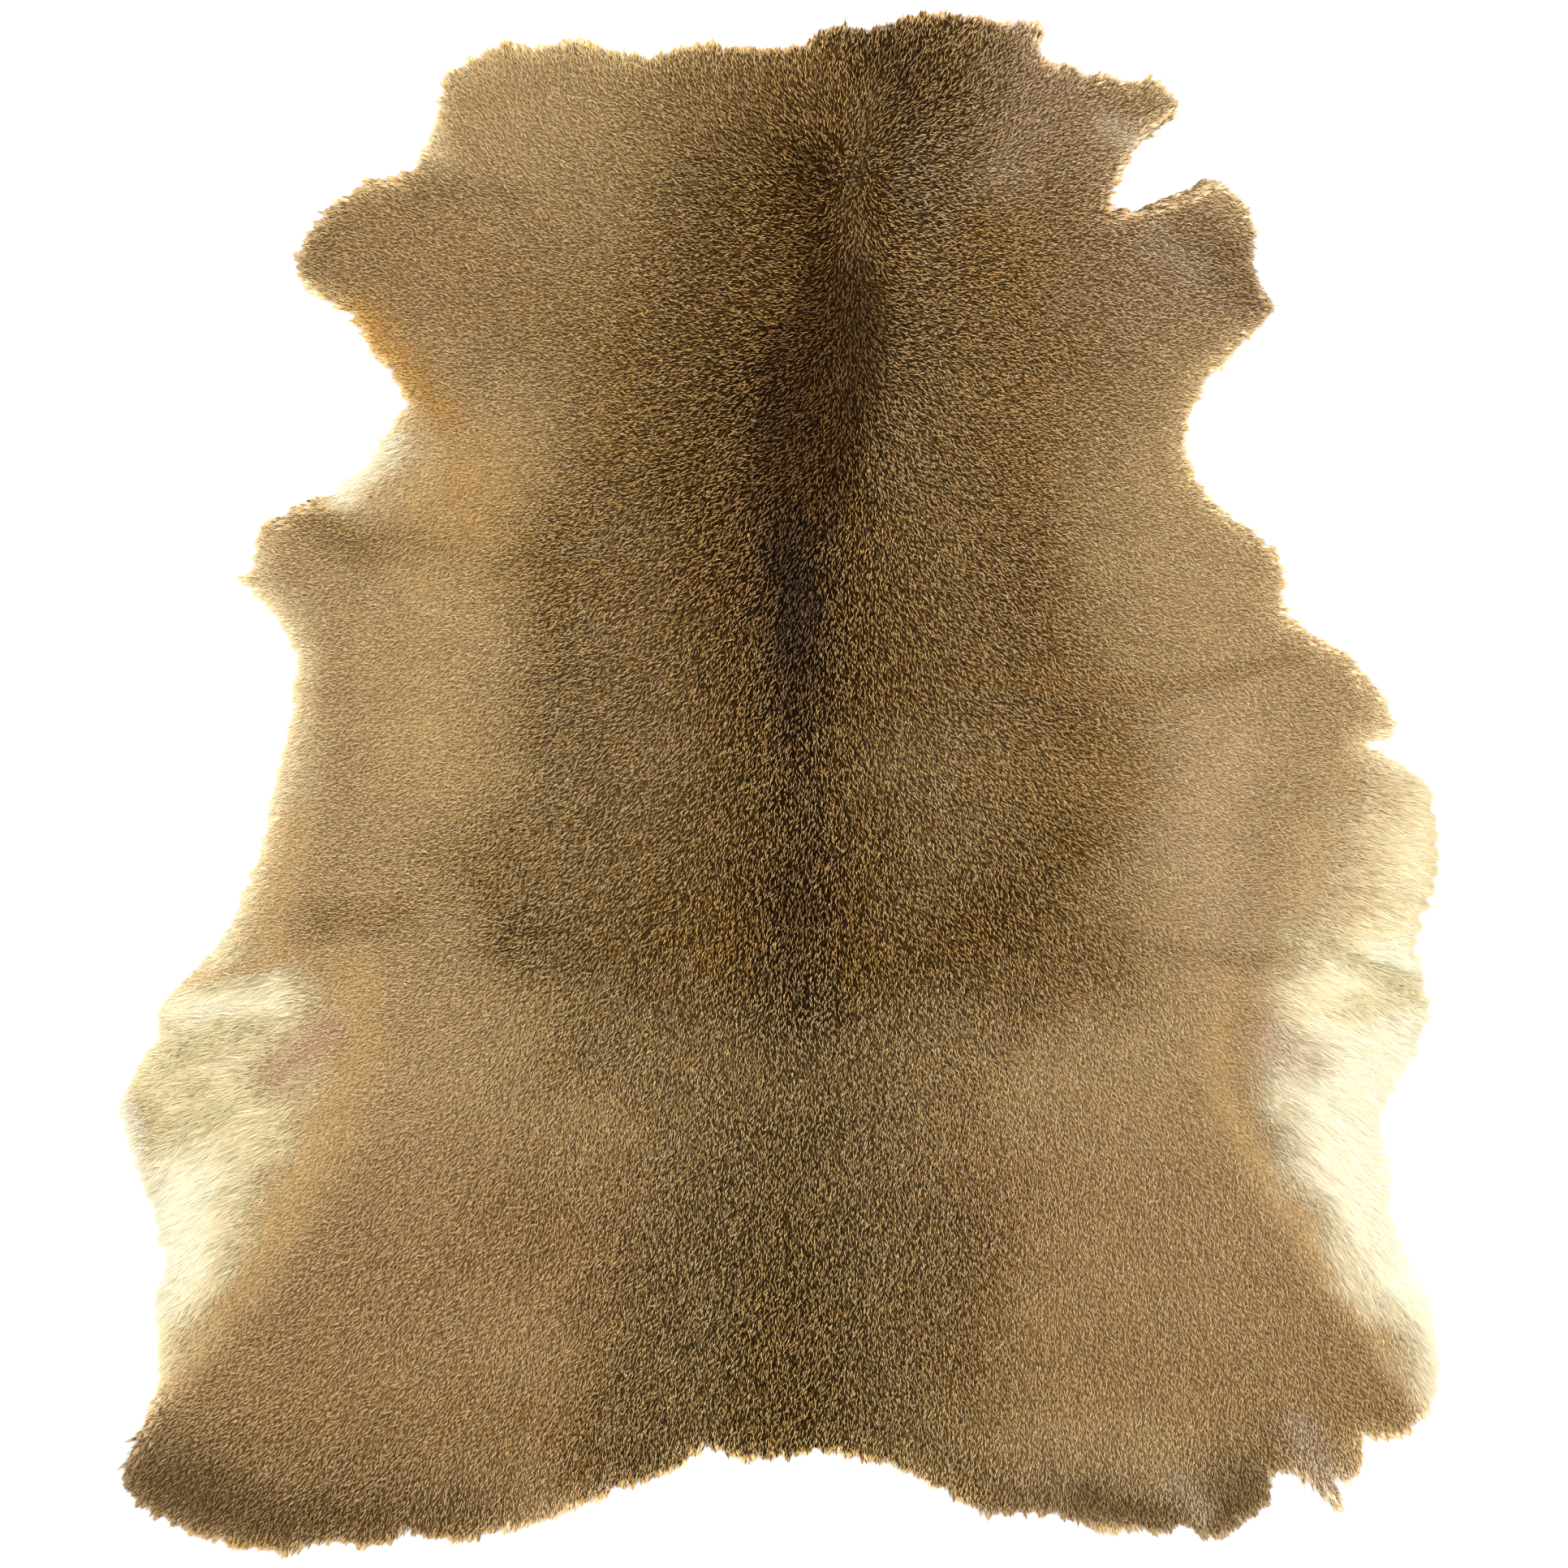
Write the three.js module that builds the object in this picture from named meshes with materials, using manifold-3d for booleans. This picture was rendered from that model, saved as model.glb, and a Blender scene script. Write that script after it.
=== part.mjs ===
// A tanned deer hide with its hair on, laid flat as a rug, hair side up.
// It is one skin: a thin leather base with a short pile of hair, thinner at the trimmed edge.
// Millimetres, +Z up, seen from above with the neck towards +Y and the tail towards -Y.
// The hide rests on its flat underside, and the origin is under the middle of its box.
import * as THREE from "three";
import { mergeVertices } from "three/addons/utils/BufferGeometryUtils.js";
import Module from "manifold-3d";

// Driving sizes
const HIDE_LENGTH = 1100; // neck edge to the left hind flap
const HIDE_WIDTH = 941; // left hind flap to the right flank
const PILE_TOP = 9.5; // leather and hair together, in the middle of the back
const EDGE_THICKNESS = 3; // leather and a few hairs, at the trimmed edge
const EDGE_BAND = 34; // how far in from the edge the pile reaches its full height
const GRID_STEP = 27; // spacing of the points that carry the relief
const LOCK_PITCH = 14; // from one lock of the edge to the next
const CURVE_STEP = LOCK_PITCH / 2; // a lock's tip and the dip beside it
const SHORTEST_LOCK = 0.3; // share of the reach that the smallest lock has
const DIP_SHARE = 0.3; // share of the reach by which the edge dips between locks
const LOCK_SEED = 7; // picks which locks are long and which are short
const LIFT_INSET = 0.3; // share of a fold's width that the raised leather stays inside it

const HIDE_COLOUR = 0x6b4a30;

// The trimmed edge, clockwise as seen from above, from the left corner of the neck.
// Each stretch ends in a corner, where the next one starts. Its locks stand out by reach, and
// its curve runs through points of x, to the right, and y, towards the neck.
const EDGE = [
  {
    stretch: "left lobe of the neck edge",
    reach: 2,
    points: [[-238, 507], [-223, 515], [-202, 526], [-190, 530], [-173, 525], [-149, 531], [-125, 525]],
  },
  {
    stretch: "middle of the neck edge",
    reach: 2,
    points: [[-94, 518], [-66, 526], [13, 526], [27, 536], [42, 541], [65, 539], [92, 547], [129, 549]],
  },
  {
    stretch: "first scallop right of the neck",
    reach: 2,
    points: [[161, 542], [174, 544], [191, 535], [187, 522]],
  },
  {
    stretch: "second scallop right of the neck",
    reach: 2,
    points: [[194, 513], [207, 514], [219, 505], [225, 507], [251, 501], [264, 504], [281, 490]],
  },
  {
    stretch: "underside of the right neck flap",
    reach: 1.5,
    points: [[286, 484], [278, 471], [254, 450], [246, 437]],
  },
  {
    stretch: "notch under the right neck flap",
    reach: 1.5,
    points: [[231, 409], [241, 414], [247, 410], [260, 416], [295, 430]],
  },
  {
    stretch: "top of the right foreleg flap",
    reach: 2,
    points: [[301, 436], [322, 423], [333, 412], [337, 400], [339, 385]],
  },
  {
    stretch: "end of the right foreleg flap",
    reach: 2.5,
    points: [[336, 373], [346, 352], [352, 343]],
  },
  {
    stretch: "right armpit",
    reach: 2.5,
    points: [[351, 334], [327, 310], [304, 285], [291, 257], [288, 242], [294, 224], [306, 205]],
  },
  {
    stretch: "right shoulder",
    reach: 2.5,
    points: [[315, 196], [338, 180], [353, 167], [359, 148]],
  },
  {
    stretch: "right side of the chest",
    reach: 2.5,
    points: [[358, 123], [386, 104], [404, 92], [428, 64]],
  },
  {
    stretch: "upper side of the flank nick",
    reach: 1.5,
    points: [[439, 39], [428, 30]],
  },
  {
    stretch: "lower side of the flank nick",
    reach: 2,
    points: [[415, 29], [441, 14], [457, 1]],
  },
  {
    stretch: "right flank",
    reach: 3,
    points: [[465, -3], [464, -22], [470, -56], [460, -90], [453, -118], [460, -160], [456, -182]],
  },
  {
    stretch: "right hip",
    reach: 3,
    points: [[449, -201], [438, -216], [426, -254], [435, -275], [432, -302], [437, -321], [447, -340]],
  },
  {
    stretch: "right thigh",
    reach: 3,
    points: [[455, -351], [462, -376], [467, -405], [464, -441]],
  },
  {
    stretch: "lower side of the right thigh",
    reach: 2,
    points: [[461, -453], [450, -462], [439, -467]],
  },
  {
    stretch: "first fork of the right hind flap",
    reach: 2,
    points: [[416, -466], [417, -478], [414, -492]],
  },
  {
    stretch: "second fork of the right hind flap",
    reach: 1.5,
    points: [[406, -500], [397, -493], [402, -510]],
  },
  {
    stretch: "inner side of the right hind flap",
    reach: 2,
    points: [[399, -522], [380, -504], [363, -490]],
  },
  {
    stretch: "right lobe of the hind edge",
    reach: 2.5,
    points: [[352, -494], [349, -512], [328, -531], [307, -538], [288, -530], [270, -537], [252, -532]],
  },
  {
    stretch: "hind edge right of the tail",
    reach: 3,
    points: [[234, -536], [195, -521], [162, -522], [143, -519], [115, -504], [85, -489]],
  },
  {
    stretch: "tail edge",
    reach: 3,
    points: [[67, -484], [27, -476], [9, -480], [-25, -482], [-53, -474], [-63, -481]],
  },
  {
    stretch: "hind edge left of the tail",
    reach: 3,
    points: [[-89, -497], [-119, -505], [-150, -519], [-184, -531], [-239, -540]],
  },
  {
    stretch: "left lobe of the hind edge",
    reach: 3,
    points: [[-267, -534], [-279, -542], [-297, -545], [-322, -541], [-354, -550], [-382, -547]],
  },
  {
    stretch: "left hind corner",
    reach: 2.5,
    points: [[-389, -549], [-394, -542], [-412, -539], [-435, -529], [-461, -510]],
  },
  {
    stretch: "left hind flap",
    reach: 3,
    points: [[-470, -498], [-462, -470], [-454, -455], [-442, -425], [-442, -370], [-435, -342]],
  },
  {
    stretch: "left thigh",
    reach: 3,
    points: [[-439, -332], [-443, -308], [-454, -284], [-463, -252]],
  },
  {
    stretch: "left flank",
    reach: 3,
    points: [[-470, -231], [-464, -216], [-444, -187], [-433, -150], [-397, -112], [-371, -54], [-352, 27]],
  },
  {
    stretch: "left side of the chest",
    reach: 2.5,
    points: [[-344, 54], [-346, 73], [-341, 87], [-351, 109], [-367, 131]],
  },
  {
    stretch: "left chest flap",
    reach: 2.5,
    points: [[-386, 145], [-376, 155], [-371, 182], [-357, 191]],
  },
  {
    stretch: "left armpit",
    reach: 2.5,
    points: [[-340, 203], [-306, 213], [-286, 235], [-279, 250]],
  },
  {
    stretch: "underside of the left foreleg flap",
    reach: 2.5,
    points: [[-266, 270], [-272, 285], [-290, 309], [-305, 333], [-336, 353]],
  },
  {
    stretch: "end of the left foreleg flap",
    reach: 2.5,
    points: [[-344, 372], [-339, 386], [-324, 409], [-289, 432], [-265, 436]],
  },
  {
    stretch: "left side of the neck",
    reach: 2.5,
    points: [[-257, 444], [-249, 460], [-243, 483]],
  },
];

// Soft ridges where the skin doesn't lie quite flat: middle x and y, the way the ridge runs in
// degrees from +X, half its length, half its width, how high the top rises and, where the leather
// leaves the floor, how high the underside does.
const FOLDS = [
  { fold: "left hip crease", x: -285, y: -95, turn: 10, half: 95, wide: 20, rise: 4.5, lift: 3 },
  { fold: "left belly roll", x: -378, y: -130, turn: 17, half: 75, wide: 22, rise: 3.5, lift: 2 },
  { fold: "right shoulder crease", x: 345, y: 82, turn: -16, half: 85, wide: 24, rise: 4, lift: 2.5 },
  { fold: "right hip crease", x: 318, y: -126, turn: -8, half: 75, wide: 22, rise: 4, lift: 2.5 },
  { fold: "right flank roll", x: 405, y: -142, turn: -14, half: 60, wide: 20, rise: 3.5, lift: 2 },
  { fold: "left foreleg ripple", x: -268, y: 352, turn: 24, half: 60, wide: 22, rise: 3, lift: 2 },
  { fold: "right foreleg ripple", x: 285, y: 350, turn: -30, half: 65, wide: 22, rise: 3, lift: 2 },
  { fold: "right hind ripple", x: 372, y: -430, turn: -62, half: 70, wide: 24, rise: 3, lift: 2 },
  { fold: "left hind ripple", x: -375, y: -455, turn: 55, half: 70, wide: 24, rise: 3, lift: 2 },
  { fold: "ridge of the back", x: 10, y: 40, turn: 90, half: 420, wide: 60, rise: 1.4, lift: 0 },
];

// Slow rises and dips of the pile: the length of one across and down the hide, where it starts,
// in turns, and its height.
const SWELLS = [
  { across: 190, down: 260, start: 0.15, height: 0.5 },
  { across: -120, down: 170, start: 0.6, height: 0.4 },
  { across: 85, down: 95, start: 0.35, height: 0.25 },
];

// Points along one stretch, about CURVE_STEP apart, up to the start of the next.
function stretchPoints(row, next) {
  const through = [...row.points, next.points[0]].map(([x, y]) => new THREE.Vector3(x, y, 0));
  const curve = new THREE.CatmullRomCurve3(through, false, "centripetal");
  const steps = Math.max(2, 2 * Math.round(curve.getLength() / CURVE_STEP / 2));
  return curve.getSpacedPoints(steps).slice(0, -1).map((point, step) => {
    const along = curve.getTangentAt(step / steps);
    return { point, outwards: new THREE.Vector3(-along.y, along.x, 0), reach: row.reach };
  });
}

// The whole edge: every second point is the tip of a lock, some further out than others.
function edgeLoop() {
  const samples = EDGE.flatMap((row, place) => stretchPoints(row, EDGE[(place + 1) % EDGE.length]));
  const loop = samples.map(({ point, outwards, reach }, index) => {
    const chance = THREE.MathUtils.seededRandom(LOCK_SEED + index);
    const tip = SHORTEST_LOCK + (1 - SHORTEST_LOCK) * chance;
    const stands = reach * (index % 2 ? tip : -DIP_SHARE);
    return new THREE.Vector2(point.x + outwards.x * stands, point.y + outwards.y * stands);
  });
  return fitted(loop);
}

// The edge at the hide's driving length and width, with its box round the origin.
function fitted(loop) {
  const box = new THREE.Box2().setFromPoints(loop);
  const middle = box.getCenter(new THREE.Vector2());
  const size = box.getSize(new THREE.Vector2());
  const scale = new THREE.Vector2(HIDE_WIDTH / size.x, HIDE_LENGTH / size.y);
  return loop.map((point) => point.sub(middle).multiply(scale));
}

// How far a point lies inside the edge.
function depthInside(loop, x, y) {
  let nearest = Infinity;
  loop.forEach((start, index) => {
    const end = loop[(index + 1) % loop.length];
    const runX = end.x - start.x;
    const runY = end.y - start.y;
    const share = ((x - start.x) * runX + (y - start.y) * runY) / (runX * runX + runY * runY);
    const held = Math.min(1, Math.max(0, share));
    nearest = Math.min(nearest, Math.hypot(start.x + held * runX - x, start.y + held * runY - y));
  });
  return nearest;
}

// A fold's share at a point: 1 on its crest, and 0 at the rim of its ellipse and beyond.
function foldShare(fold, x, y, margin) {
  const turn = THREE.MathUtils.degToRad(fold.turn);
  const along = (x - fold.x) * Math.cos(turn) + (y - fold.y) * Math.sin(turn);
  const across = (y - fold.y) * Math.cos(turn) - (x - fold.x) * Math.sin(turn);
  const reach = Math.hypot(along / (fold.half - margin), across / (fold.wide - margin));
  return reach < 1 ? Math.cos((reach * Math.PI) / 2) ** 2 : 0;
}

// The floor side: flat on the floor, but for the folds that lift off it.
function underside(x, y) {
  return FOLDS.reduce((height, fold) => {
    return Math.max(height, fold.lift * foldShare(fold, x, y, fold.wide * LIFT_INSET));
  }, 0);
}

// The hair side: pile that thins towards the edge, with the folds and a slow unevenness.
function hairTop(loop, x, y) {
  const inside = THREE.MathUtils.smoothstep(depthInside(loop, x, y), 0, EDGE_BAND);
  const swells = SWELLS.reduce((sum, swell) => {
    const turns = x / swell.across + y / swell.down + swell.start;
    return sum + swell.height * Math.sin(turns * 2 * Math.PI);
  }, 0);
  const pile = EDGE_THICKNESS + inside * (PILE_TOP - EDGE_THICKNESS + swells);
  const folds = FOLDS.reduce((sum, fold) => sum + fold.rise * foldShare(fold, x, y, 0), 0);
  return pile + folds;
}

// A closed solid for joining and cutting, from a geometry.
function solidOf(wasm, geometry) {
  const bare = geometry.clone();
  bare.deleteAttribute("normal");
  bare.deleteAttribute("uv");
  const merged = mergeVertices(bare, 1e-4);
  return new wasm.Manifold(
    new wasm.Mesh({
      numProp: 3,
      vertProperties: new Float32Array(merged.attributes.position.array),
      triVerts: new Uint32Array(merged.index.array),
    }),
  );
}

// The hide: a thin slab of even grid cells, cut to the edge, whose two faces then take their heights.
function hideGeometry(wasm, loop) {
  const across = Math.ceil((HIDE_WIDTH + 2 * GRID_STEP) / GRID_STEP);
  const down = Math.ceil((HIDE_LENGTH + 2 * GRID_STEP) / GRID_STEP);
  const slab = new THREE.BoxGeometry(across * GRID_STEP, down * GRID_STEP, 1, across, down, 1);
  const prism = new THREE.ExtrudeGeometry(new THREE.Shape(loop), { depth: 4, bevelEnabled: false });
  prism.translate(0, 0, -2); // past both faces of the slab
  const cut = solidOf(wasm, slab).intersect(solidOf(wasm, prism)).getMesh();
  const places = Array.from(cut.vertProperties);
  for (let at = 0; at < places.length; at += 3) {
    const [x, y, z] = places.slice(at, at + 3);
    places[at + 2] = z > 0 ? hairTop(loop, x, y) : underside(x, y);
  }
  const geometry = new THREE.BufferGeometry();
  geometry.setAttribute("position", new THREE.Float32BufferAttribute(places, 3));
  geometry.setIndex(Array.from(cut.triVerts));
  geometry.computeVertexNormals();
  return geometry;
}

const wasm = await Module();
wasm.setup();

const deerHide = new THREE.Mesh(
  hideGeometry(wasm, edgeLoop()),
  new THREE.MeshStandardMaterial({ color: HIDE_COLOUR, roughness: 0.9, metalness: 0 }),
);
deerHide.name = "deer_hide";

const rug = new THREE.Group();
rug.add(deerHide);

export default rug;
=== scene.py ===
"""A tanned deer hide with its hair on, laid flat as a rug, hair side up.

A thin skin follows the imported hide's underside, and a coat of joined hair blades grows out of it:
dark along the back, tan on the flanks, cream on the belly edges. Lengths are in metres.
"""

import math
from collections import namedtuple

import bmesh
import bpy
import numpy as np
from bpy.props import FloatProperty, FloatVectorProperty, IntProperty, PointerProperty
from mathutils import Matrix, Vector
from mathutils.bvhtree import BVHTree


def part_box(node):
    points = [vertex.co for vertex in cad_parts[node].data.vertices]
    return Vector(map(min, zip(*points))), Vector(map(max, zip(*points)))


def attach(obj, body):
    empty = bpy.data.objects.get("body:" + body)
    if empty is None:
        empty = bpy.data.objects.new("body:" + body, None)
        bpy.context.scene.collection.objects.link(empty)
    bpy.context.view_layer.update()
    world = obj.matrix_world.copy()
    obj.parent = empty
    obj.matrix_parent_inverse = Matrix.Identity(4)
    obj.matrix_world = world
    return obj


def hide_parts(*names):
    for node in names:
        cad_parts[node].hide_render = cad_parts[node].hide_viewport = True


bl_info = {
    "name": "Deerhide Rug",
    "version": (1, 0, 0),
    "blender": (4, 5, 0),
    "location": "3D View > Sidebar > Deerhide",
    "description": "Makes a tanned deer hide with its coat, and the plain studio round it",
    "category": "Add Mesh",
}

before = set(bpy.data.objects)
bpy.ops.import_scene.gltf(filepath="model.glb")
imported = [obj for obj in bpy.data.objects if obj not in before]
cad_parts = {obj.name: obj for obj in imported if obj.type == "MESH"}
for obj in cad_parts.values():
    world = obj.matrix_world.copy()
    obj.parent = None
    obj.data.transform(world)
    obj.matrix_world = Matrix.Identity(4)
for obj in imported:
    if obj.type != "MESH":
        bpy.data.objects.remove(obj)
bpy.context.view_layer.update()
HIDE_NODE = "deer_hide"
HIDE_LOW, HIDE_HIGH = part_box(HIDE_NODE)
HIDE_SIZE = HIDE_HIGH - HIDE_LOW
PLAN_MARGIN = 0.03  # how far the maps of the plan reach past the hide
PHOTO_OFFSET_X = 0.0023  # the picture's middle lies this far right of the hide's
PHOTO_OFFSET_Y = 0.0003


# Coat tables

# A colour of the coat: its average on screen, and how far its light and dark hairs are apart.
Shade = namedtuple("Shade", "red green blue depth")
SHADES = {
    "stripe": Shade(40, 28, 16, 0.66),
    "warm stripe": Shade(58, 38, 16, 0.70),
    "dark back": Shade(91, 66, 32, 0.98),
    "loin": Shade(106, 79, 34, 0.95),
    "back": Shade(127, 100, 58, 0.90),
    "dark grey": Shade(72, 54, 31, 0.72),
    "smoke": Shade(112, 91, 64, 0.75),
    "saddle": Shade(168, 139, 95, 0.80),
    "dusk": Shade(92, 70, 42, 0.40),
    "umber": Shade(64, 45, 22, 0.50),
    "lower back": Shade(114, 92, 57, 0.92),
    "tail": Shade(90, 70, 38, 0.90),
    "thigh": Shade(160, 130, 90, 0.62),
    "hind brown": Shade(149, 120, 79, 0.50),
    "neck brown": Shade(140, 114, 82, 0.52),
    "warm tan": Shade(160, 129, 80, 0.60),
    "fawn": Shade(159, 130, 88, 0.50),
    "dark shoulder": Shade(134, 107, 72, 0.60),
    "warm ribs": Shade(136, 107, 60, 0.74),
    "grey tan": Shade(160, 135, 106, 0.45),
    "ribs": Shade(139, 111, 72, 0.72),
    "deep brown": Shade(104, 80, 48, 0.45),
    "tan": Shade(178, 151, 108, 0.42),
    "light tan": Shade(193, 165, 116, 0.36),
    "pinkish tan": Shade(186, 160, 122, 0.34),
    "gold tan": Shade(197, 163, 107, 0.30),
    "straw": Shade(217, 195, 150, 0.22),
    "ochre": Shade(196, 165, 114, 0.28),
    "amber": Shade(187, 145, 80, 0.34),
    "wheat": Shade(237, 215, 168, 0.16),
    "cream": Shade(240, 228, 196, 0.12),
    "butter": Shade(222, 204, 157, 0.14),
    "silver": Shade(225, 212, 186, 0.14),
    "white": Shade(253, 248, 236, 0.06),
    "rosy": Shade(188, 154, 126, 0.26),
    # painted shade, greenish, along the soft folds and a crease of the belly
    "sage": Shade(208, 193, 148, 0.16),
    "shadow": Shade(134, 104, 60, 0.42),
    "grey": Shade(160, 138, 112, 0.38),
    "pale grey": Shade(196, 176, 148, 0.32),
}
GROUND_SHADE = "tan"
LIGHT_SHARES = np.array((0.2126, 0.7152, 0.0722))  # of red, green and blue in how light a colour is
PALE_FROM = 0.40  # hair lighter than this is pale
COAT_GAIN = 1.80  # makes up for the shade between the hairs
DEPTH_GAIN = 1.15  # and for the dark hairs, where light and dark differ most
PALE_LOSS = 0.41  # pale hair lies flat, with less shade in it
WARMTH = np.array((1.0, 1.0, 0.94))  # the photo's light is a little warmer than the studio's

# The middle line of the dark back, from the neck to the tail. It wavers a little.
RIDGE = (
    (0.086, 0.54), (0.076, 0.47), (0.048, 0.40), (0.036, 0.33), (0.016, 0.24), (0.006, 0.16),
    (0.018, 0.08), (0.013, 0.00), (0.004, -0.08), (0.008, -0.11), (0.015, -0.20), (0.006, -0.28),
    (0.0, -0.36), (0.0, -0.52),
)
NECK_RIDGE = RIDGE[:3]
FORE_RIDGE = RIDGE[2:7]
LOIN_RIDGE = RIDGE[8:10]
REAR_RIDGE = RIDGE[10:]

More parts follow.
